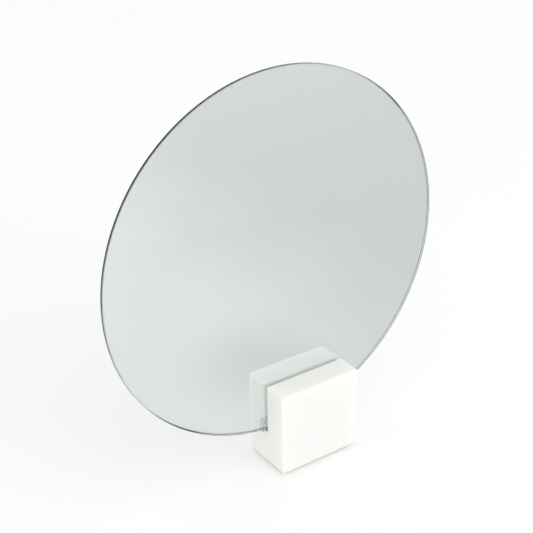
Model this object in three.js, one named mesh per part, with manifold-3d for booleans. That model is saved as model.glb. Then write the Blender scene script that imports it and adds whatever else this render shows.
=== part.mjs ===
// Countertop mirror: a round frameless glass mirror that stands in a slot sawn across a small
// marble block. The block sits to the right of the disc's middle, so that the disc hangs out to
// the left. A clear soft sleeve on the rim keeps the glass off the stone, and the disc lifts out
// with it.
//
// Millimetres, +Z up. The origin lies on the surface that the feet stand on, under the disc's
// centre and at mid-depth of the block. The reflecting side faces -Y.

import * as THREE from 'three';
import { mergeVertices } from 'three/addons/utils/BufferGeometryUtils.js';
import Module from 'manifold-3d';

// ---- Driving dimensions ---------------------------------------------------------------------

// Mirror disc, from the front: glass, silver, paint, safety film
const DISC_DIAMETER = 300;
const GLASS_THICKNESS = 3;
const GLASS_ARRIS = 0.5; // bevel ground on both rims of the glass
const SILVER_THICKNESS = 0.08;
const PAINT_THICKNESS = 0.12;
const FILM_THICKNESS = 0.2;
const FILM_TRIM = 2; // how far the film stops short of the rim
const BOND_GAP = 0.02; // between neighbouring layers of the disc

// Marble block
const BLOCK_WIDTH = 75;
const BLOCK_DEPTH = 48;
const BLOCK_HEIGHT = 74;
const BLOCK_OFFSET = 22.5; // from the disc's centre to the block's middle, along X
const TOP_EDGE_RADIUS = 1.5;
const UPRIGHT_EDGE_RADIUS = 2;
const BOTTOM_EDGE_RADIUS = 4;
const SLOT_DEPTH = 42.5;
const SLOT_ARRIS = 0.4; // bevel along the slot's mouth

// Clear sleeve pushed on the rim where it enters the stone
const SLEEVE_WALL = 0.5;
const SLEEVE_WEB = 1;
const SLEEVE_LEG = 9; // how far the two legs reach in from the rim
const SLEEVE_OVERHANG = 4; // how far it shows past each end of the block
const SLEEVE_CORNER = 3; // rounding of the legs' free corners

// Feet
const FOOT_DIAMETER = 10;
const FOOT_THICKNESS = 1.2;
const FOOT_EDGE_DISTANCE = 5; // from a foot's rim to the block's sides

// Clearances
const GLASS_IN_SLEEVE = 0.1; // on each face of the disc
const RIM_IN_SLEEVE = 0.2; // around the disc's rim
const SLEEVE_IN_SLOT = 0.15; // on each side of the sleeve
const SLEEVE_ON_SLOT = 0.1; // under the sleeve's lowest point
const GLUE_LINE = 0.05; // between a foot and the stone

// Roundness
const DISC_SEGMENTS = 192;
const EDGE_SEGMENTS = 6; // for a quarter turn of a rounded edge
const FOOT_SEGMENTS = 32;
const SLEEVE_SEGMENTS = 24;
const MERGE_TOLERANCE = 0.0001; // corners closer than this are one corner

// ---- Worked out from them -------------------------------------------------------------------

const discRadius = DISC_DIAMETER / 2;
const packThickness =
  GLASS_THICKNESS + SILVER_THICKNESS + PAINT_THICKNESS + FILM_THICKNESS + 3 * BOND_GAP;
const packFront = -packThickness / 2;

const pocketWidth = packThickness + 2 * GLASS_IN_SLEEVE;
const pocketRadius = discRadius + RIM_IN_SLEEVE;
const sleeveWidth = pocketWidth + 2 * SLEEVE_WALL;
const sleeveRadius = pocketRadius + SLEEVE_WEB;
const slotWidth = sleeveWidth + 2 * SLEEVE_IN_SLOT;

const blockBottom = FOOT_THICKNESS + GLUE_LINE;
const blockTop = blockBottom + BLOCK_HEIGHT;
const slotFloor = blockTop - SLOT_DEPTH;
const discCentre = slotFloor + SLEEVE_ON_SLOT + sleeveRadius;

const CUT_OVERSHOOT = 2; // how far a cutting shape runs past what it cuts

// ---- Solids ---------------------------------------------------------------------------------

const wasm = await Module();
wasm.setup();

function toSolid(geometry) {
  const bare = geometry.clone();
  bare.deleteAttribute('normal');
  bare.deleteAttribute('uv');
  const merged = mergeVertices(bare, MERGE_TOLERANCE);
  return new wasm.Manifold(
    new wasm.Mesh({
      numProp: 3,
      vertProperties: new Float32Array(merged.attributes.position.array),
      triVerts: new Uint32Array(merged.index.array),
    }),
  );
}

function toGeometry(solid) {
  const mesh = solid.getMesh();
  const geometry = new THREE.BufferGeometry();
  geometry.setAttribute('position', new THREE.BufferAttribute(mesh.vertProperties, 3));
  geometry.setIndex(new THREE.BufferAttribute(mesh.triVerts, 1));
  geometry.computeVertexNormals();
  return geometry;
}

// A rectangle around the origin with one radius for its lower and one for its upper corners.
function roundedRectangle(width, height, lowerRadius, upperRadius) {
  const right = width / 2;
  const top = height / 2;
  const shape = new THREE.Shape();
  shape.moveTo(-right + lowerRadius, -top);
  shape.lineTo(right - lowerRadius, -top);
  shape.absarc(right - lowerRadius, -top + lowerRadius, lowerRadius, -Math.PI / 2, 0, false);
  shape.lineTo(right, top - upperRadius);
  shape.absarc(right - upperRadius, top - upperRadius, upperRadius, 0, Math.PI / 2, false);
  shape.lineTo(-right + upperRadius, top);
  shape.absarc(-right + upperRadius, top - upperRadius, upperRadius, Math.PI / 2, Math.PI, false);
  shape.lineTo(-right, -top + lowerRadius);
  shape.absarc(-right + lowerRadius, -top + lowerRadius, lowerRadius, Math.PI, 1.5 * Math.PI, false);
  return shape;
}

// Extrudes a shape to the given length, centred on its own plane.
function centredExtrusion(shape, length, curveSegments = EDGE_SEGMENTS) {
  const geometry = new THREE.ExtrudeGeometry(shape, {
    depth: length,
    bevelEnabled: false,
    curveSegments,
  });
  return geometry.translate(0, 0, -length / 2);
}

// The shape's X and Y become the part's X and Z, and the extrusion runs along Y.
function alongY(geometry) {
  return geometry.rotateX(Math.PI / 2);
}

// The shape's X and Y become the part's Y and Z, and the extrusion runs along X.
function alongX(geometry) {
  return geometry.rotateX(Math.PI / 2).rotateZ(Math.PI / 2);
}

// A disc about Y between two places along it, with an optional bevel on both rims.
function discGeometry(radius, front, back, arris = 0) {
  const profile = [new THREE.Vector2(0, front)];
  if (arris > 0) {
    profile.push(new THREE.Vector2(radius - arris, front));
    profile.push(new THREE.Vector2(radius, front + arris));
    profile.push(new THREE.Vector2(radius, back - arris));
    profile.push(new THREE.Vector2(radius - arris, back));
  } else {
    profile.push(new THREE.Vector2(radius, front));
    profile.push(new THREE.Vector2(radius, back));
  }
  profile.push(new THREE.Vector2(0, back));
  return new THREE.LatheGeometry(profile, DISC_SEGMENTS);
}

// ---- Marble block ---------------------------------------------------------------------------

// The block is what three rounded bars have in common: one along each axis, each giving four
// of its twelve edges their radius.
function blockGeometry() {
  const past = 2 * CUT_OVERSHOOT;
  const endView = roundedRectangle(
    BLOCK_DEPTH, BLOCK_HEIGHT, BOTTOM_EDGE_RADIUS, TOP_EDGE_RADIUS,
  );
  const planView = roundedRectangle(
    BLOCK_WIDTH, BLOCK_DEPTH, UPRIGHT_EDGE_RADIUS, UPRIGHT_EDGE_RADIUS,
  );
  const frontView = roundedRectangle(
    BLOCK_WIDTH, BLOCK_HEIGHT, BOTTOM_EDGE_RADIUS, TOP_EDGE_RADIUS,
  );
  const barAlongX = toSolid(alongX(centredExtrusion(endView, BLOCK_WIDTH + past)));
  const barAlongZ = toSolid(centredExtrusion(planView, BLOCK_HEIGHT + past));
  const barAlongY = toSolid(alongY(centredExtrusion(frontView, BLOCK_DEPTH + past)));
  const slot = toSolid(alongX(centredExtrusion(slotOutline(), BLOCK_WIDTH + past)));
  return toGeometry(barAlongX.intersect(barAlongZ).intersect(barAlongY).subtract(slot));
}

// The slot seen from the end, open at the top, measured from the block's middle.
function slotOutline() {
  const top = BLOCK_HEIGHT / 2;
  const wall = slotWidth / 2;
  const outline = new THREE.Shape();
  outline.moveTo(-wall, top - SLOT_DEPTH);
  outline.lineTo(wall, top - SLOT_DEPTH);
  outline.lineTo(wall, top - SLOT_ARRIS);
  outline.lineTo(wall + SLOT_ARRIS + CUT_OVERSHOOT, top + CUT_OVERSHOOT);
  outline.lineTo(-wall - SLOT_ARRIS - CUT_OVERSHOOT, top + CUT_OVERSHOOT);
  outline.lineTo(-wall, top - SLOT_ARRIS);
  outline.closePath();
  return outline;
}

// ---- Clear sleeve ---------------------------------------------------------------------------

// An arc of the rim seen from the front, about the disc's centre, from the left end of the
// block to its right end and a little past both. The legs' free corners are rounded.
function sleeveOutline() {
  const legRadius = discRadius - SLEEVE_LEG;
  const leftReach = BLOCK_OFFSET - BLOCK_WIDTH / 2 - SLEEVE_OVERHANG;
  const rightReach = BLOCK_OFFSET + BLOCK_WIDTH / 2 + SLEEVE_OVERHANG;
  const leftAngle = Math.asin(leftReach / discRadius) - Math.PI / 2;
  const rightAngle = Math.asin(rightReach / discRadius) - Math.PI / 2;
  const cornerAngle = SLEEVE_CORNER / legRadius;
  const at = (radius, angle) => [radius * Math.cos(angle), radius * Math.sin(angle)];
  const outline = new THREE.Shape();
  outline.moveTo(...at(sleeveRadius, leftAngle));
  outline.absarc(0, 0, sleeveRadius, leftAngle, rightAngle, false);
  outline.lineTo(...at(legRadius + SLEEVE_CORNER, rightAngle));
  outline.quadraticCurveTo(...at(legRadius, rightAngle), ...at(legRadius, rightAngle - cornerAngle));
  outline.absarc(0, 0, legRadius, rightAngle - cornerAngle, leftAngle + cornerAngle, true);
  outline.quadraticCurveTo(
    ...at(legRadius, leftAngle), ...at(legRadius + SLEEVE_CORNER, leftAngle),
  );
  outline.closePath();
  return outline;
}

function sleeveGeometry() {
  const full = toSolid(alongY(centredExtrusion(sleeveOutline(), sleeveWidth, SLEEVE_SEGMENTS)));
  const pocket = toSolid(discGeometry(pocketRadius, -pocketWidth / 2, pocketWidth / 2));
  return toGeometry(full.subtract(pocket));
}

// ---- Assembly -------------------------------------------------------------------------------

function finish(color, roughness, metalness, opacity = 1) {
  return new THREE.MeshStandardMaterial({
    color, roughness, metalness, opacity, transparent: opacity < 1,
  });
}

function piece(name, geometry, material, parent) {
  const mesh = new THREE.Mesh(geometry, material);
  mesh.name = name;
  parent.add(mesh);
  return mesh;
}

const countertopMirror = new THREE.Group();

const base = new THREE.Group();
base.position.set(BLOCK_OFFSET, 0, 0);
countertopMirror.add(base);

const block = piece('stone_base', blockGeometry(), finish(0xf2f1ec, 0.45, 0), base);
block.position.z = blockBottom + BLOCK_HEIGHT / 2;

const footX = BLOCK_WIDTH / 2 - FOOT_EDGE_DISTANCE - FOOT_DIAMETER / 2;
const footY = BLOCK_DEPTH / 2 - FOOT_EDGE_DISTANCE - FOOT_DIAMETER / 2;
const feet = [
  ['foot_front_left', -footX, -footY],
  ['foot_front_right', footX, -footY],
  ['foot_rear_left', -footX, footY],
  ['foot_rear_right', footX, footY],
];
for (const [name, x, y] of feet) {
  const round = new THREE.CylinderGeometry(
    FOOT_DIAMETER / 2, FOOT_DIAMETER / 2, FOOT_THICKNESS, FOOT_SEGMENTS,
  );
  const foot = piece(name, round.rotateX(Math.PI / 2), finish(0xd9d8d4, 0.7, 0), base);
  foot.position.set(x, y, FOOT_THICKNESS / 2);
}

const disc = new THREE.Group();
disc.position.set(0, 0, discCentre);
countertopMirror.add(disc);

piece('edge_sleeve', sleeveGeometry(), finish(0xe6eef2, 0.15, 0, 0.4), disc);

const layers = [
  ['mirror_glass', GLASS_THICKNESS, 0, GLASS_ARRIS, finish(0xd5dedb, 0.02, 0, 0.5)],
  ['silver_layer', SILVER_THICKNESS, GLASS_ARRIS, 0, finish(0xe8ecea, 0.03, 1)],
  ['back_paint', PAINT_THICKNESS, GLASS_ARRIS, 0, finish(0x8d9290, 0.55, 0)],
  ['safety_film', FILM_THICKNESS, FILM_TRIM, 0, finish(0xc9cccb, 0.4, 0)],
];
let layerFront = packFront;
for (const [name, thickness, inset, arris, material] of layers) {
  const layerBack = layerFront + thickness;
  piece(name, discGeometry(discRadius - inset, layerFront, layerBack, arris), material, disc);
  layerFront = layerBack + BOND_GAP;
}

export default countertopMirror;
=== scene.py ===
"""A countertop mirror: a round frameless glass that stands in a slotted block of white marble."""

import math

import bmesh
import bpy
from bpy.props import FloatProperty, FloatVectorProperty, IntProperty, PointerProperty
from bpy.types import Operator, Panel, PropertyGroup
from mathutils import Matrix, Quaternion, Vector


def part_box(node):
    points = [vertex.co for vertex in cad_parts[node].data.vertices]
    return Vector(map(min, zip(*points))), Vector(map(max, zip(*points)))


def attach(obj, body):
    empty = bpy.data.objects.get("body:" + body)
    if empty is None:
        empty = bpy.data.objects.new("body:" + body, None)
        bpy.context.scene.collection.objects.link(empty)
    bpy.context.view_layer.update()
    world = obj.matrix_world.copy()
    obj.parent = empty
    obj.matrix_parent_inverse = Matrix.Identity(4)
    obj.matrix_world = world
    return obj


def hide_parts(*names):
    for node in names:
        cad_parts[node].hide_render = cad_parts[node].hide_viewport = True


bl_info = {
    "name": "Countertop Mirror",
    "version": (1, 0, 0),
    "blender": (4, 5, 0),
    "location": "View3D > Sidebar > Mirror",
    "description": "Round frameless glass mirror in a slotted marble block",
    "category": "Add Mesh",
}

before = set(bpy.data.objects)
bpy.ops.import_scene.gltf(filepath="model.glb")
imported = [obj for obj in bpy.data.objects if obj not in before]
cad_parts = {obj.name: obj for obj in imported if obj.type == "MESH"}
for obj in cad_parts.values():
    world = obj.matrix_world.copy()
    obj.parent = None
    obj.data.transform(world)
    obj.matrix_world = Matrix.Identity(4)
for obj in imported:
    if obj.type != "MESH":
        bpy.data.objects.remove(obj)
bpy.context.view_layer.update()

MILLIMETRE = 0.001
FEET = ("foot_front_left", "foot_front_right", "foot_rear_left", "foot_rear_right")
DISC_AXIS = Vector((0.0, 1.0, 0.0))
SAME_PLACE = 0.001 * MILLIMETRE
BLACK = (0.0, 0.0, 0.0, 1.0)
WHITE = (1.0, 1.0, 1.0, 1.0)


# ---- Sizes and colours ----------------------------------------------------------------------


def length(name, description, millimetres):
    """A size that is shown in the scene's length unit."""
    return FloatProperty(
        name=name,
        description=description,
        default=millimetres * MILLIMETRE,
        min=0.0,
        unit="LENGTH",
        subtype="DISTANCE",
    )


def point(name, description, *millimetres):
    """A point, or the way to one."""
    return FloatVectorProperty(
        name=name,
        description=description,
        default=[part * MILLIMETRE for part in millimetres],
        size=3,
        unit="LENGTH",
        subtype="TRANSLATION",
    )


def colour(name, description, red, green, blue):
    """A linear colour."""
    return FloatVectorProperty(
        name=name,
        description=description,
        default=(red, green, blue),
        min=0.0,
        max=1.0,
        size=3,
        subtype="COLOR",
    )


def angle(name, description, degrees):
    """An angle, kept in radians."""
    return FloatProperty(
        name=name, description=description, default=math.radians(degrees), subtype="ANGLE"
    )


def share(name, description, amount):
    """A plain amount, where 1 is the whole."""
    return FloatProperty(
        name=name, description=description, default=amount, min=0.0, subtype="FACTOR"
    )


def count(name, description, number, least=1):
    """A whole number of steps or sides."""
    return IntProperty(name=name, description=description, default=number, min=least)


class MarbleSettings(PropertyGroup):
    """The block: its edges, its slot's fit around the sleeve, and the stone."""

    bottom_radius: length("Bottom radius", "Rounding of the edges round the underside", 4.0)
    upright_radius: length("Upright radius", "Rounding of the four upright edges", 2.0)
    top_radius: length("Top radius", "Rounding of the edges round the top", 1.5)
    slot_arris: length("Slot arris", "Softening of the slot's sawn edges", 0.4)
    slot_side_gap: length("Slot side gap", "Room beside the sleeve in the slot", 0.15)
    slot_floor_gap: length("Slot floor gap", "Room under the sleeve in the slot", 0.1)
    segments: count("Segments", "Steps round an edge", 8)
    stone: colour("Stone", "The marble between its veins", 0.925, 0.925, 0.895)
    cloud: colour("Cloud", "The marble's faint darker clouds", 0.90, 0.905, 0.865)
    cloud_size: length("Cloud size", "How wide a cloud is", 45.0)
    vein: colour("Vein", "The hairline veins", 0.86, 0.86, 0.835)
    vein_spacing: length("Vein spacing", "How far apart the veins run", 60.0)
    vein_width: share("Vein width", "How wide a vein is, in the noise that it follows", 0.022)
    vein_share: share("Vein share", "How strongly a vein shows", 0.35)
    patch_size: length("Patch size", "How wide the patches that hold veins are", 35.0)
    crystal_size: length("Crystal size", "How wide one crystal is", 1.1)
    pit_size: length("Pit size", "How wide the honed face's pits are", 0.7)
    pit_depth: length("Pit depth", "How deep the pits are", 0.03)
    scatter: length("Scatter", "How far light spreads under the surface", 7.0)


class FootSettings(PropertyGroup):
    """The four self-adhesive feet."""

    edge_radius: length("Edge radius", "Rounding of a foot's lower rim", 0.4)
    segments: count("Segments", "Steps round the lower rim's edge", 4)
    sides: count("Sides", "Steps round a foot", 48, least=8)
    rubber: colour("Rubber", "Pale soft rubber", 0.60, 0.60, 0.58)
    grain_size: length("Grain size", "How wide the moulded grain is", 0.4)
    grain_depth: length("Grain depth", "How deep the moulded grain is", 0.02)
    dust_size: length("Dust size", "How wide the dusty patches are", 3.0)


class DiscSettings(PropertyGroup):
    """The mirror disc's glass and the layers on its back."""

    arris: length("Arris", "Bevel ground on both rims of the glass", 0.5)
    ground_from: share("Ground from", "Where grinding is full, in arrises from the rim", 0.6)
    steps: count("Steps", "Steps round the disc", 360, least=24)
    glass: colour("Glass", "Tint of the float glass", 0.967, 0.984, 0.976)
    rim: colour("Rim", "Tint of the glass at its ground rim", 0.42, 0.47, 0.46)
    streak_size: length("Streak size", "How wide the rim's grinding streaks are", 2.0)
    silver: colour("Silver", "The silvering seen through the glass", 0.89, 0.905, 0.92)
    dulled_width: length("Dulled width", "How far in from its rim the silver is dulled", 3.0)
    mottle_size: length("Mottle size", "How wide the dulled patches are", 4.0)
    paint: colour("Back paint", "Protective paint over the silver", 0.20, 0.22, 0.215)
    peel_size: length("Peel size", "How wide the paint's orange peel is", 1.5)
    peel_depth: length("Peel depth", "How deep the paint's orange peel is", 0.04)
    paint_drift: length("Paint drift", "How wide the paint's changes of tone are", 50.0)
    film: colour("Safety film", "Film stuck on the paint", 0.50, 0.52, 0.515)
    weave_scale: FloatProperty(
        name="Weave scale", description="How close the film's threads are", default=260.0
    )
    weave_depth: length("Weave depth", "How deep the film's threads are pressed in", 0.05)
    film_drift: length("Film drift", "How wide the film's changes of tone are", 40.0)


class SleeveSettings(PropertyGroup):
    """The clear sleeve on the rim."""

    wall: length("Wall", "Thickness of each leg", 0.5)
    web: length("Web", "Thickness under the rim", 1.0)
    leg: length("Leg", "How far the legs reach in from the rim", 9.0)
    overhang: length("Overhang", "How far it shows past each end of the block", 4.0)
    corner: length("Corner", "Rounding of the legs' free corners", 3.0)
    corner_segments: count("Corner segments", "Steps round a free corner", 6)
    lip_radius: length("Lip radius", "Softening of every edge", 0.12)
    lip_segments: count("Lip segments", "Steps round a softened edge", 2)
    lip_angle: angle("Lip angle", "Edges that turn by more than this are softened", 50.0)
    steps: count("Steps", "Steps along the sleeve", 48, least=4)
    vinyl: colour("Vinyl", "Tint of the clear vinyl", 0.975, 0.985, 0.995)
    ripple_size: length("Ripple size", "How wide the vinyl's ripples are", 4.0)
    ripple_depth: length("Ripple depth", "How deep the vinyl's ripples are", 0.05)


class StageSettings(PropertyGroup):
    """The floor, the lights and the camera."""

    sides: count("Sides", "Steps round the floor and the thrown light", 96, least=8)
    floor_radius: length("Floor radius", "How far the floor reaches", 12000.0)
    floor: colour("Floor", "The pale floor", 0.97, 0.97, 0.97)
    floor_drift: length("Floor drift", "How wide the floor's changes of tone are", 500.0)
    # Painted light: where the mirror shows the floor, these tones are painted into its colour,
    # brighter to the left, darker to the right and far off.
    left_floor: colour("Left floor", "The floor to the left, in the glass", 0.83, 0.846, 0.834)
    right_floor: colour("Right floor", "The floor to the right, in the glass", 0.665, 0.679, 0.667)
    far_floor: colour("Far floor", "The floor far off, in the glass", 0.73, 0.73, 0.73)
    fade: length("Fade", "How far to the right the floor has faded", 360.0)
    light_falloff_drift: length("Fade drift", "How wide the fade's uneven patches are", 150.0)
    light_falloff_uneven: share("Fade unevenness", "How uneven the fade is, as a part of it", 0.4)
    dimming_start: length("Haze start", "Where the floor starts to look like the room", 850.0)
    dimming_end: length("Haze end", "Where the floor looks like the room", 2000.0)
    # Painted shadow: the block's soft shade, painted into the floor's colour where the mirror shows
    # it.
    shade_sideways: length("Shade sideways", "How far right the block's soft shade lies", 75.0)
    shade_forward: length("Shade forward", "How far in front the block's soft shade lies", 125.0)
    shade_reach: length("Shade reach", "How far the block's soft shade spreads", 110.0)
    shade_share: share("Shade share", "How strong the soft shade is at its middle", 0.8)
    floor_glow: share("Floor glow", "Lifts the floor to white", 0.06)
    open_light: colour("Open light", "Thrown back by the mirror over the block", 0.86, 0.87, 0.86)
    slot_light: colour("Slot light", "Thrown back by the mirror down in the slot", 0.42, 0.43, 0.38)
    slot_reach: length("Slot reach", "How far into the slot the light weakens", 3.6)
    light_gap: length("Light gap", "From the sleeve to the thrown light", 0.05)
    sky: share("Room light", "Strength of the even light", 0.94)
    sky_in_glass: share("Room in the glass", "Strength of the room in reflections", 0.74)
    backdrop_lift: share("Backdrop lift", "Added where the room is seen straight", 0.03)
    front: FloatProperty(
        name="Front", description="Power of the soft light in front", default=4.2, unit="POWER"
    )
    front_side: length("Front side", "How wide and high the soft light is", 1200.0)
    front_place: point("Front place", "Where the soft light hangs", 500.0, -1600.0, 800.0)
    front_aim: point("Front aim", "Where the soft light points", 20.0, 0.0, 80.0)
    azimuth: angle("Azimuth", "Where the camera stands round the mirror", -34.12)
    elevation: angle("Elevation", "How far the camera looks down", 27.04)
    roll: angle("Roll", "Tilt of the picture", -1.0)
    distance: length("Distance", "From the camera to its aim", 863.6)
    lens: FloatProperty(name="Lens", description="Focal length", default=77.4, unit="CAMERA")
    aim_sideways: length("Aim sideways", "How far left of the disc's centre it aims", 11.5)
    aim_height: length("Aim height", "How high the camera aims", 180.6)


class MirrorSettings(PropertyGroup):
    """Everything that can be set on the mirror."""

    marble: PointerProperty(type=MarbleSettings)
    foot: PointerProperty(type=FootSettings)
    disc: PointerProperty(type=DiscSettings)
    sleeve: PointerProperty(type=SleeveSettings)
    stage: PointerProperty(type=StageSettings)


# ---- Node materials -------------------------------------------------------------------------


class Wire:
    """A node's output that takes part in Python sums. Each sum adds a Math node."""

    def __init__(self, recipe, socket):
        self.recipe = recipe
        self.socket = socket

    def _sum(self, operation, first, second):
        values = {0: first, 1: second}
        return self.recipe.node("ShaderNodeMath", {"operation": operation}, values)

    def __add__(self, other):
        return self._sum("ADD", self, other)

    def __radd__(self, other):
        return self._sum("ADD", other, self)

    def __sub__(self, other):
        return self._sum("SUBTRACT", self, other)

    def __rsub__(self, other):
        return self._sum("SUBTRACT", other, self)

    def __mul__(self, other):
        return self._sum("MULTIPLY", self, other)

    def __rmul__(self, other):
        return self._sum("MULTIPLY", other, self)

    def __abs__(self):
        return self._sum("ABSOLUTE", self, 0.0)


class Recipe:
    """The nodes that make one material, or the room's light."""

    def __init__(self, owner):
        owner.use_nodes = True
        self.owner = owner
        self.tree = owner.node_tree
        self.tree.nodes.clear()

    def node(self, kind, settings=None, values=None, output=0):
        """Adds a node, sets it up, fills or links its sockets and returns one output."""
        made = self.tree.nodes.new(kind)
        for name, setting in (settings or {}).items():
            setattr(made, name, setting)
        for name, value in (values or {}).items():
            socket = self._socket(made.inputs, name)
            if isinstance(value, Wire):
                self.tree.links.new(value.socket, socket)
            else:
                socket.default_value = value
        return None if output is None else Wire(self, self._socket(made.outputs, output))

    @staticmethod
    def _socket(sockets, name):
        """Finds a socket by its number, its identifier or its name."""
        if isinstance(name, int):
            return sockets[name]
        for socket in sockets:
            if socket.identifier == name:
                return socket
        return sockets[name]

    def place(self):
        """Object coordinates, in metres."""
        return self.node("ShaderNodeTexCoord", output="Object")

    def along(self, place, axis):
        """A place's distance along one axis."""
        return self.node("ShaderNodeSeparateXYZ", {}, {"Vector": place}, axis)

    def vector(self, operation, *places, output="Vector"):
        """Vector Math on one or two places."""
        values = dict(enumerate(places))
        return self.node("ShaderNodeVectorMath", {"operation": operation}, values, output)

    def in_mirror(self):
        """1 where the mirror shows the surface, and 0 where it is seen or gives light straight."""
        glossy = self.node("ShaderNodeLightPath", output="Glossy Depth")
        scattered = self.node("ShaderNodeLightPath", output="Diffuse Depth")
        return self.ease(glossy - scattered, 0.0, 1.0)

    def noise(self, place, size, detail=3.0, roughness=0.5, distortion=0.0):
        """Soft noise whose features are about the given size in metres."""
        values = {
            "Vector": place,
            "Scale": 1.0 / size,
            "Detail": detail,
            "Roughness": roughness,
            "Distortion": distortion,
        }
        return self.node("ShaderNodeTexNoise", {}, values)

    def grains(self, place, size):
        """Cells of about the given size in metres, each with a grey of its own."""
        values = {"Vector": place, "Scale": 1.0 / size}
        cells = self.node("ShaderNodeTexVoronoi", {}, values, "Color")
        return self.node("ShaderNodeSeparateColor", {}, {"Color": cells}, "Red")

    def ease(self, value, low, high, to_low=0.0, to_high=1.0):
        """Takes a value from one range to another with soft ends."""
        settings = {"interpolation_type": "SMOOTHSTEP"}
        values = {
            "Value": value,
            "From Min": low,
            "From Max": high,
            "To Min": to_low,
            "To Max": to_high,
        }
        return self.node("ShaderNodeMapRange", settings, values)

    def mix(self, factor, first, second):
        """Mixes two colours."""
        values = {"Factor_Float": factor, "A_Color": solid(first), "B_Color": solid(second)}
        return self.node("ShaderNodeMix", {"data_type": "RGBA"}, values, "Result_Color")

    def bump(self, height, depth):
        """A normal that follows a height from 0 to 1, with the full depth in metres."""
        values = {"Height": height, "Distance": depth, "Strength": 1.0}
        return self.node("ShaderNodeBump", {}, values)

    def finish(self, values):
        """Adds the surface shader and gives the finished material."""
        surface = self.node("ShaderNodeBsdfPrincipled", {}, values)
        self.node("ShaderNodeOutputMaterial", {}, {"Surface": surface}, None)
        return self.owner


def start_material(name):
    """A new material, ready for its nodes."""
    return Recipe(bpy.data.materials.new(name))


def solid(value):
    """A colour property as a four-part colour; links pass through."""
    return value if isinstance(value, Wire) else (*value, 1.0)


def darker(tint, amount):
    """A colour with each part scaled by the amount."""
    return [amount * part for part in tint]


def marble_material(look):
    """Honed white marble: faint clouds, hairline veins and a fine crystal grain."""
    recipe = start_material("white_marble")
    place = recipe.place()
    clouds = recipe.noise(place, look.cloud_size, detail=5.0, roughness=0.6, distortion=0.4)
    folds = recipe.noise(place, look.vein_spacing, detail=7.0, roughness=0.55, distortion=1.6)
    patches = recipe.ease(recipe.noise(place, look.patch_size), 0.48, 0.66)
    crystals = recipe.grains(place, look.crystal_size)
    hairline = 1.0 - recipe.ease(abs(folds - 0.5), 0.0, look.vein_width)
    vein_mask = hairline * patches * look.vein_share
    tone = recipe.ease(clouds, 0.38, 0.68) * 0.6 + crystals * 0.12
    stone = recipe.mix(tone, look.stone, look.cloud)
    veined = recipe.mix(vein_mask, stone, look.vein)
    pits = recipe.noise(place, look.pit_size, detail=2.0)
    height = pits * 0.6 + crystals * 0.4
    values = {
        "Base Color": veined,
        "Roughness": 0.40 + 0.10 * clouds + 0.05 * crystals,
        "Normal": recipe.bump(height, look.pit_depth),
        "Subsurface Weight": 1.0,
        "Subsurface Radius": (1.0, 0.9, 0.75),
        "Subsurface Scale": look.scatter,
        "Specular IOR Level": 0.45,
    }
    return recipe.finish(values)


def rubber_material(look):
    """Pale soft rubber with a fine moulded texture."""
    recipe = start_material("pale_rubber")
    place = recipe.place()
    grain = recipe.noise(place, look.grain_size, detail=2.0)
    dust = recipe.noise(place, look.dust_size, detail=4.0)
    values = {
        "Base Color": recipe.mix(dust * 0.5, look.rubber, darker(look.rubber, 0.82)),
        "Roughness": 0.55 + 0.15 * dust,
        "Normal": recipe.bump(grain, look.grain_depth),
        "Subsurface Weight": 0.15,
        "Subsurface Scale": 1.0 * MILLIMETRE,
    }
    return recipe.finish(values)


def rim_distance(recipe, centre):
    """How far a point is from the disc's axis, in metres."""
    off = recipe.vector("SUBTRACT", recipe.place(), centre)
    flat = recipe.vector("MULTIPLY", off, (1.0, 0.0, 1.0))
    return recipe.vector("LENGTH", flat, output="Value")


def glass_material(look, centre, radius):
    """Clear float glass, polished on its faces and finely ground round its rim."""
    recipe = start_material("float_glass")
    reach = rim_distance(recipe, centre)
    fully_ground = radius - look.ground_from * look.arris
    ground = recipe.ease(reach, radius - look.arris, fully_ground)
    streaks = recipe.noise(recipe.place(), look.streak_size, detail=2.0)
    values = {
        "Base Color": recipe.mix(ground, look.glass, look.rim),
        "Roughness": ground * (0.10 + 0.08 * streaks),
        "Transmission Weight": 1.0,
        "IOR": 1.52,
    }
    return recipe.finish(values)


def silver_material(look, centre, radius):
    """Silvering, very slightly dulled towards the rim."""
    recipe = start_material("silvering")
    reach = rim_distance(recipe, centre)
    dulled = recipe.ease(reach, radius - look.dulled_width, radius, 0.0, 0.5)
    mottle = recipe.noise(recipe.place(), look.mottle_size, detail=4.0)
    values = {
        "Base Color": recipe.mix(dulled * mottle, look.silver, darker(look.silver, 0.55)),
        "Roughness": 0.002,
        "Metallic": 1.0,
    }
    return recipe.finish(values)


def paint_material(look):
    """Curtain-coated paint with a fine orange-peel surface."""
    recipe = start_material("back_paint")
    place = recipe.place()
    peel = recipe.noise(place, look.peel_size, detail=2.0)
    drift = recipe.noise(place, look.paint_drift, detail=3.0)
    values = {
        "Base Color": recipe.mix(drift, look.paint, darker(look.paint, 0.85)),
        "Roughness": 0.42 + 0.12 * drift,
        "Normal": recipe.bump(peel, look.peel_depth),
    }
    return recipe.finish(values)


def film_material(look):
    """Pale film with a fine woven backing pressed into it."""
    recipe = start_material("safety_film")
    place = recipe.place()
    threads = {"Vector": place, "Scale": look.weave_scale}
    across = recipe.node("ShaderNodeTexWave", {"bands_direction": "X"}, threads)
    upward = recipe.node("ShaderNodeTexWave", {"bands_direction": "Z"}, threads)
    weave = across * upward
    drift = recipe.noise(place, look.film_drift, detail=4.0)
    tone = 0.6 * drift + 0.3 * weave
    values = {
        "Base Color": recipe.mix(tone, look.film, darker(look.film, 0.88)),
        "Roughness": 0.38 + 0.14 * drift,
        "Normal": recipe.bump(weave, look.weave_depth),
    }
    return recipe.finish(values)


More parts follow.
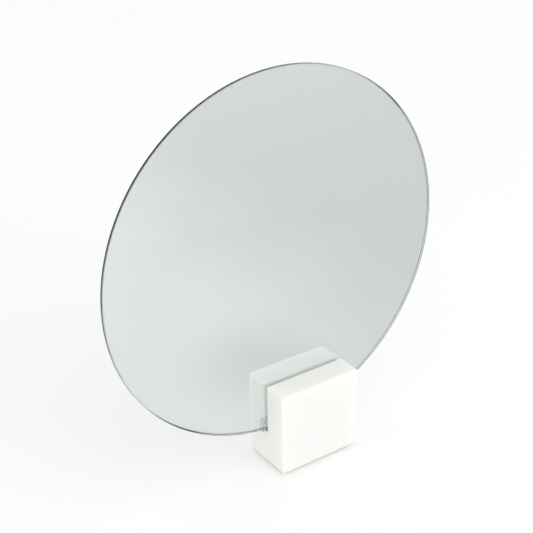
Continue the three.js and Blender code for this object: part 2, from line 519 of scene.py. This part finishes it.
def vinyl_material(look):
    """Clear soft vinyl, a little uneven."""
    recipe = start_material("clear_vinyl")
    ripple = recipe.noise(recipe.place(), look.ripple_size, detail=2.0)
    values = {
        "Base Color": solid(look.vinyl),
        "Roughness": 0.02 + 0.05 * ripple,
        "Normal": recipe.bump(ripple, look.ripple_depth),
        "Transmission Weight": 1.0,
        "IOR": 1.48,
    }
    return recipe.finish(values)


def thrown_light_material(look, block_low, block_high):
    """The light that the mirror throws back on the stone, weaker inside the slot."""
    recipe = start_material("thrown_light")
    place = recipe.place()
    height = recipe.along(place, "Z")
    half = (block_high.x - block_low.x) / 2
    from_middle = abs(recipe.along(place, "X") - (block_low.x + half))
    under_top = 1.0 - recipe.ease(height, block_high.z - look.slot_reach, block_high.z)
    within_ends = 1.0 - recipe.ease(from_middle, half - look.slot_reach, half)
    open_share = 1.0 - under_top * within_ends
    values = {
        "Base Color": BLACK,
        "Specular IOR Level": 0.0,
        "Emission Color": recipe.mix(open_share, look.slot_light, look.open_light),
        "Emission Strength": 1.0,
    }
    return recipe.finish(values)


def floor_material(look):
    """The pale floor, which reflections show in a painted darker tone: a painted falloff of light
    to the right and far off, and a painted soft shadow of the block.
    """
    recipe = start_material("pale_floor")
    place = recipe.place()
    drift = recipe.noise(place, look.floor_drift, detail=2.0)
    lit = recipe.mix(drift, look.floor, darker(look.floor, 0.985))
    # Painted light: in the glass the floor's colour darkens to the right, a little unevenly, as a
    # painted falloff of the room's light.
    uneven = look.light_falloff_uneven * (recipe.noise(place, look.light_falloff_drift, detail=1.0) - 0.5)
    sideways = recipe.along(place, "X") + look.fade * uneven
    darkened = recipe.ease(sideways, 0.0, look.fade)
    tone = recipe.mix(darkened, look.left_floor, look.right_floor)
    # Painted shadow: the block's soft shade, painted darker into the floor as the glass shows it.
    shade_middle = (look.shade_sideways, -look.shade_forward, 0.0)
    from_shade = recipe.vector("DISTANCE", place, shade_middle, output="Value")
    shade = recipe.ease(from_shade, look.shade_reach, 0.0, 0.0, look.shade_share)
    shaded = recipe.mix(shade, tone, look.right_floor)
    # Painted light: far off, the floor in the glass is painted down to the room's grey.
    away = recipe.vector("LENGTH", place, output="Value")
    far_dimmed = recipe.ease(away, look.dimming_start, look.dimming_end)
    reflected = recipe.mix(far_dimmed, shaded, look.far_floor)
    values = {
        "Base Color": recipe.mix(recipe.in_mirror(), lit, reflected),
        "Roughness": 0.9,
        "Specular IOR Level": 0.1,
        "Emission Color": WHITE,
        "Emission Strength": look.floor_glow,
    }
    return recipe.finish(values)


# ---- Shapes ---------------------------------------------------------------------------------


def add_object(name, shape, material):
    """Makes an object of a bmesh, in place, and frees the bmesh."""
    mesh = bpy.data.meshes.new(name)
    shape.to_mesh(mesh)
    shape.free()
    made = bpy.data.objects.new(name, mesh)
    made.data.materials.append(material)
    bpy.context.scene.collection.objects.link(made)
    return made


def add_piece(name, shape, material, body, node):
    """Adds a finished piece that rides on a body and stands for a CAD node."""
    piece = add_object(name, shape, material)
    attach(piece, body)
    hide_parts(node)
    return piece


def shade_smooth(shape):
    """Makes every face smooth, for a bevel to harden."""
    for face in shape.faces:
        face.smooth = True


def add_bevel(piece, width, segments, limit):
    """Rounds a piece's edges and keeps its flat faces flat in the light."""
    bevel = piece.modifiers.new("edges", "BEVEL")
    bevel.width = width
    bevel.segments = segments
    bevel.limit_method = limit
    bevel.harden_normals = True
    return bevel


def round_edges(shape, edges, radius, segments):
    """Rounds some edges in the mesh itself."""
    bmesh.ops.bevel(
        shape,
        geom=edges,
        offset=radius,
        segments=segments,
        profile=0.5,
        affect="EDGES",
        material=-1,
    )


def draw_out(shape, faces, way):
    """Draws a closed body out of flat faces, which stay as its near end."""
    grown = bmesh.ops.extrude_face_region(shape, geom=faces, use_keep_orig=True)
    far_end = [part for part in grown["geom"] if isinstance(part, bmesh.types.BMVert)]
    bmesh.ops.translate(shape, verts=far_end, vec=way)


def disc_measures():
    """Centre, radius, front and back of the glass disc, from the CAD model."""
    low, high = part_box("mirror_glass")
    centre = (low + high) / 2
    return centre, (high.x - low.x) / 2, low.y, high.y


def spin_profile(profile, centre, steps):
    """Turns a half outline of (radius, place along Y) pairs into a closed disc."""
    shape = bmesh.new()
    corners = [shape.verts.new((centre.x + reach, along, centre.z)) for reach, along in profile]
    edges = [shape.edges.new(pair) for pair in zip(corners, corners[1:])]
    bmesh.ops.spin(
        shape,
        geom=corners + edges,
        cent=centre,
        axis=DISC_AXIS,
        angle=math.tau,
        steps=steps,
        use_merge=True,
    )
    bmesh.ops.remove_doubles(shape, verts=shape.verts, dist=SAME_PLACE)
    bmesh.ops.recalc_face_normals(shape, faces=shape.faces)
    return shape


def plain_disc(node, steps):
    """A round plate in the place of a CAD layer."""
    low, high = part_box(node)
    centre = (low + high) / 2
    radius = (high.x - low.x) / 2
    profile = [(0.0, low.y), (radius, low.y), (radius, high.y), (0.0, high.y)]
    return spin_profile(profile, centre, steps)


# ---- Operators ------------------------------------------------------------------------------


class MIRROR_OT_marble_block(Operator):
    """Make the marble block with its sawn slot and rounded edges"""

    bl_idname = "mirror.marble_block"
    bl_label = "Marble block"

    def execute(self, context):
        look = context.scene.mirror.marble
        low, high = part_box("stone_base")
        sleeve_low, sleeve_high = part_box("edge_sleeve")
        slot_front = sleeve_low.y - look.slot_side_gap
        slot_back = sleeve_high.y + look.slot_side_gap
        slot_floor = sleeve_low.z - look.slot_floor_gap
        outline = [
            (low.y, low.z),
            (high.y, low.z),
            (high.y, high.z),
            (slot_back, high.z),
            (slot_back, slot_floor),
            (slot_front, slot_floor),
            (slot_front, high.z),
            (low.y, high.z),
        ]
        shape = bmesh.new()
        end = shape.faces.new([shape.verts.new((low.x, y, z)) for y, z in outline])
        draw_out(shape, [end], (high.x - low.x, 0.0, 0.0))
        bmesh.ops.recalc_face_normals(shape, faces=shape.faces)
        self.weigh_edges(shape, look, (low, high))
        shade_smooth(shape)
        material = marble_material(look)
        block = add_piece("marble_block", shape, material, "base", "stone_base")
        add_bevel(block, look.bottom_radius, look.segments, "WEIGHT")
        return {"FINISHED"}

    @staticmethod
    def weigh_edges(shape, look, box):
        """Gives each edge its radius, as a share of the largest."""
        low, high = box
        weights = shape.edges.layers.float.new("bevel_weight_edge")
        for edge in shape.edges:
            first, second = (corner.co for corner in edge.verts)
            middle = (first + second) / 2
            on_side = min(abs(middle.y - low.y), abs(middle.y - high.y)) < SAME_PLACE
            on_end = min(abs(middle.x - low.x), abs(middle.x - high.x)) < SAME_PLACE
            on_top = abs(middle.z - high.z) < SAME_PLACE
            on_bottom = abs(middle.z - low.z) < SAME_PLACE
            runs_across = abs(first.y - second.y) > SAME_PLACE
            if on_bottom:
                radius = look.bottom_radius
            elif on_top and (on_side or runs_across):
                radius = look.top_radius
            elif on_side:
                radius = look.upright_radius
            elif on_top or on_end:
                radius = look.slot_arris
            else:
                radius = 0.0
            edge[weights] = radius / look.bottom_radius


class MIRROR_OT_feet(Operator):
    """Make the four rubber feet under the block"""

    bl_idname = "mirror.feet"
    bl_label = "Feet"

    def execute(self, context):
        look = context.scene.mirror.foot
        material = rubber_material(look)
        for node in FEET:
            low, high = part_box(node)
            centre = (low + high) / 2
            shape = bmesh.new()
            disc = bmesh.ops.create_circle(
                shape, cap_ends=True, segments=look.sides, radius=(high.x - low.x) / 2
            )
            bmesh.ops.translate(shape, verts=disc["verts"], vec=(centre.x, centre.y, low.z))
            rim = shape.edges[:]
            draw_out(shape, shape.faces[:], (0.0, 0.0, high.z - low.z))
            round_edges(shape, rim, look.edge_radius, look.segments)
            bmesh.ops.recalc_face_normals(shape, faces=shape.faces)
            add_piece(f"rubber_{node}", shape, material, "base", node)
        return {"FINISHED"}


class MIRROR_OT_edge_sleeve(Operator):
    """Make the clear sleeve that keeps the rim off the stone"""

    bl_idname = "mirror.edge_sleeve"
    bl_label = "Clear sleeve"

    def execute(self, context):
        look = context.scene.mirror.sleeve
        centre, disc_radius, _, _ = disc_measures()
        block_low, block_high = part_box("stone_base")
        low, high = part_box("edge_sleeve")
        outer = centre.z - low.z
        pocket = outer - look.web
        legs = disc_radius - look.leg
        front_leg = low.y + look.wall
        back_leg = high.y - look.wall
        section = [
            (legs, low.y),
            (outer, low.y),
            (outer, high.y),
            (legs, high.y),
            (legs, back_leg),
            (pocket, back_leg),
            (pocket, front_leg),
            (legs, front_leg),
        ]
        left = math.asin((block_low.x - look.overhang - centre.x) / disc_radius)
        right = math.asin((block_high.x + look.overhang - centre.x) / disc_radius)
        shape = bmesh.new()
        corners = [
            shape.verts.new(
                (centre.x + reach * math.sin(left), along, centre.z - reach * math.cos(left))
            )
            for reach, along in section
        ]
        end = shape.faces.new(corners)
        bmesh.ops.spin(
            shape,
            geom=[end, *end.edges, *corners],
            cent=centre,
            axis=DISC_AXIS,
            angle=left - right,
            steps=look.steps,
        )
        bmesh.ops.remove_doubles(shape, verts=shape.verts, dist=SAME_PLACE)
        bmesh.ops.recalc_face_normals(shape, faces=shape.faces)
        self.round_corners(shape, look, centre, legs, (left, right))
        shade_smooth(shape)
        material = vinyl_material(look)
        sleeve = add_piece("clear_sleeve", shape, material, "sleeve", "edge_sleeve")
        bevel = add_bevel(sleeve, look.lip_radius, look.lip_segments, "ANGLE")
        bevel.angle_limit = look.lip_angle
        return {"FINISHED"}

    @staticmethod
    def round_corners(shape, look, centre, legs, ends):
        """Rounds the free corners of both legs at both ends."""
        near = 10 * SAME_PLACE
        corners = []
        for edge in shape.edges:
            first, second = (corner.co - centre for corner in edge.verts)
            if abs(first.y - second.y) < near:
                continue
            reach = math.hypot(first.x, first.z)
            turned = math.atan2(first.x, -first.z)
            at_end = min(abs(turned - ends[0]), abs(turned - ends[1])) * reach < near
            if at_end and abs(reach - legs) < near:
                corners.append(edge)
        round_edges(shape, corners, look.corner, look.corner_segments)


class MIRROR_OT_glass_disc(Operator):
    """Make the glass disc with its ground and polished rim"""

    bl_idname = "mirror.glass_disc"
    bl_label = "Glass disc"

    def execute(self, context):
        look = context.scene.mirror.disc
        centre, radius, front, back = disc_measures()
        profile = [
            (0.0, front),
            (radius - look.arris, front),
            (radius, front + look.arris),
            (radius, back - look.arris),
            (radius - look.arris, back),
            (0.0, back),
        ]
        shape = spin_profile(profile, centre, look.steps)
        material = glass_material(look, centre, radius)
        add_piece("glass_disc", shape, material, "mirror", "mirror_glass")
        return {"FINISHED"}


class MIRROR_OT_silvering(Operator):
    """Make the silvering on the back of the glass"""

    bl_idname = "mirror.silvering"
    bl_label = "Silvering"

    def execute(self, context):
        look = context.scene.mirror.disc
        centre, radius, _, _ = disc_measures()
        shape = plain_disc("silver_layer", look.steps)
        material = silver_material(look, centre, radius)
        add_piece("silvering", shape, material, "mirror", "silver_layer")
        return {"FINISHED"}


class MIRROR_OT_back_layers(Operator):
    """Make the back paint and the safety film on it"""

    bl_idname = "mirror.back_layers"
    bl_label = "Back paint and film"

    def execute(self, context):
        look = context.scene.mirror.disc
        coat = plain_disc("back_paint", look.steps)
        paint = paint_material(look)
        add_piece("paint_coat", coat, paint, "mirror", "back_paint")
        sheet = plain_disc("safety_film", look.steps)
        film = film_material(look)
        add_piece("film_sheet", sheet, film, "mirror", "safety_film")
        return {"FINISHED"}


class MIRROR_OT_stage(Operator):
    """Set out the floor, the soft lights and the camera"""

    bl_idname = "mirror.stage"
    bl_label = "Stage"

    def execute(self, context):
        look = context.scene.mirror.stage
        context.scene.view_settings.view_transform = "Standard"
        self.lay_floor(look)
        self.light_room(context, look)
        self.hang_softbox(context, look)
        self.throw_light(look)
        self.set_camera(context, look)
        return {"FINISHED"}

    @staticmethod
    def lay_floor(look):
        """Lays a wide round floor."""
        shape = bmesh.new()
        bmesh.ops.create_circle(
            shape, cap_ends=True, segments=look.sides, radius=look.floor_radius
        )
        add_object("floor", shape, floor_material(look))

    @staticmethod
    def light_room(context, look):
        """Gives the even light of a white room, quieter where the mirror shows it."""
        room = bpy.data.worlds.new("room")
        context.scene.world = room
        recipe = Recipe(room)
        straight = recipe.node("ShaderNodeLightPath", output="Is Camera Ray")
        even = look.sky + (look.sky_in_glass - look.sky) * recipe.in_mirror()
        values = {"Color": WHITE, "Strength": even + look.backdrop_lift * straight}
        backdrop = recipe.node("ShaderNodeBackground", {}, values)
        recipe.node("ShaderNodeOutputWorld", {}, {"Surface": backdrop}, None)

    @staticmethod
    def hang_softbox(context, look):
        """Hangs a square soft light in front of the mirror."""
        lamp = bpy.data.lights.new("front_softbox", "AREA")
        lamp.energy = look.front
        lamp.size = look.front_side
        softbox = bpy.data.objects.new("front_softbox", lamp)
        softbox.location = look.front_place
        back = Vector(look.front_place) - Vector(look.front_aim)
        softbox.rotation_euler = back.to_track_quat("Z", "Y").to_euler()
        context.scene.collection.objects.link(softbox)

    @staticmethod
    def throw_light(look):
        """Lights the stone from the mirror. Only scattered light meets this disc."""
        centre, radius, _, _ = disc_measures()
        block_low, block_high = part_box("stone_base")
        sleeve_low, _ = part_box("edge_sleeve")
        upright = Matrix.Rotation(math.radians(90.0), 4, "X")
        shape = bmesh.new()
        bmesh.ops.create_circle(
            shape, cap_ends=True, segments=look.sides, radius=radius, matrix=upright
        )
        bmesh.ops.translate(
            shape, verts=shape.verts, vec=(centre.x, sleeve_low.y - look.light_gap, centre.z)
        )
        material = thrown_light_material(look, block_low, block_high)
        thrown = add_object("thrown_light", shape, material)
        thrown.visible_camera = False
        thrown.visible_glossy = False
        thrown.visible_transmission = False
        thrown.visible_shadow = False

    @staticmethod
    def set_camera(context, look):
        """Stands the camera back from its aim, looking down a little."""
        lens = bpy.data.cameras.new("camera")
        lens.lens = look.lens
        lens.dof.use_dof = False
        camera = bpy.data.objects.new("camera", lens)
        context.scene.collection.objects.link(camera)
        level = math.cos(look.elevation)
        back = Vector((math.sin(look.azimuth), -math.cos(look.azimuth), 0.0)) * level
        back.z = math.sin(look.elevation)
        aim = Vector((-look.aim_sideways, 0.0, look.aim_height))
        turn = back.to_track_quat("Z", "Y") @ Quaternion((0.0, 0.0, 1.0), look.roll)
        camera.rotation_euler = turn.to_euler()
        camera.location = aim + back * look.distance
        context.scene.camera = camera


# ---- Sidebar --------------------------------------------------------------------------------

PIECE_OPERATORS = (
    MIRROR_OT_stage,
    MIRROR_OT_marble_block,
    MIRROR_OT_feet,
    MIRROR_OT_edge_sleeve,
    MIRROR_OT_glass_disc,
    MIRROR_OT_silvering,
    MIRROR_OT_back_layers,
)


class MIRROR_PT_sidebar(Panel):
    """Lists the steps that make the mirror"""

    bl_idname = "MIRROR_PT_sidebar"
    bl_label = "Countertop Mirror"
    bl_space_type = "VIEW_3D"
    bl_region_type = "UI"
    bl_category = "Mirror"

    def draw(self, context):
        column = self.layout.column(align=True)
        for step in PIECE_OPERATORS:
            column.operator(step.bl_idname)


CLASSES = (
    MarbleSettings,
    FootSettings,
    DiscSettings,
    SleeveSettings,
    StageSettings,
    MirrorSettings,
    *PIECE_OPERATORS,
    MIRROR_PT_sidebar,
)


def register():
    for item in CLASSES:
        bpy.utils.register_class(item)
    bpy.types.Scene.mirror = PointerProperty(type=MirrorSettings)


def unregister():
    del bpy.types.Scene.mirror
    for item in reversed(CLASSES):
        bpy.utils.unregister_class(item)


def main():
    register()
    bpy.ops.mirror.stage()
    bpy.ops.mirror.marble_block()
    bpy.ops.mirror.feet()
    bpy.ops.mirror.edge_sleeve()
    bpy.ops.mirror.glass_disc()
    bpy.ops.mirror.silvering()
    bpy.ops.mirror.back_layers()


if __name__ == "__main__":
    main()
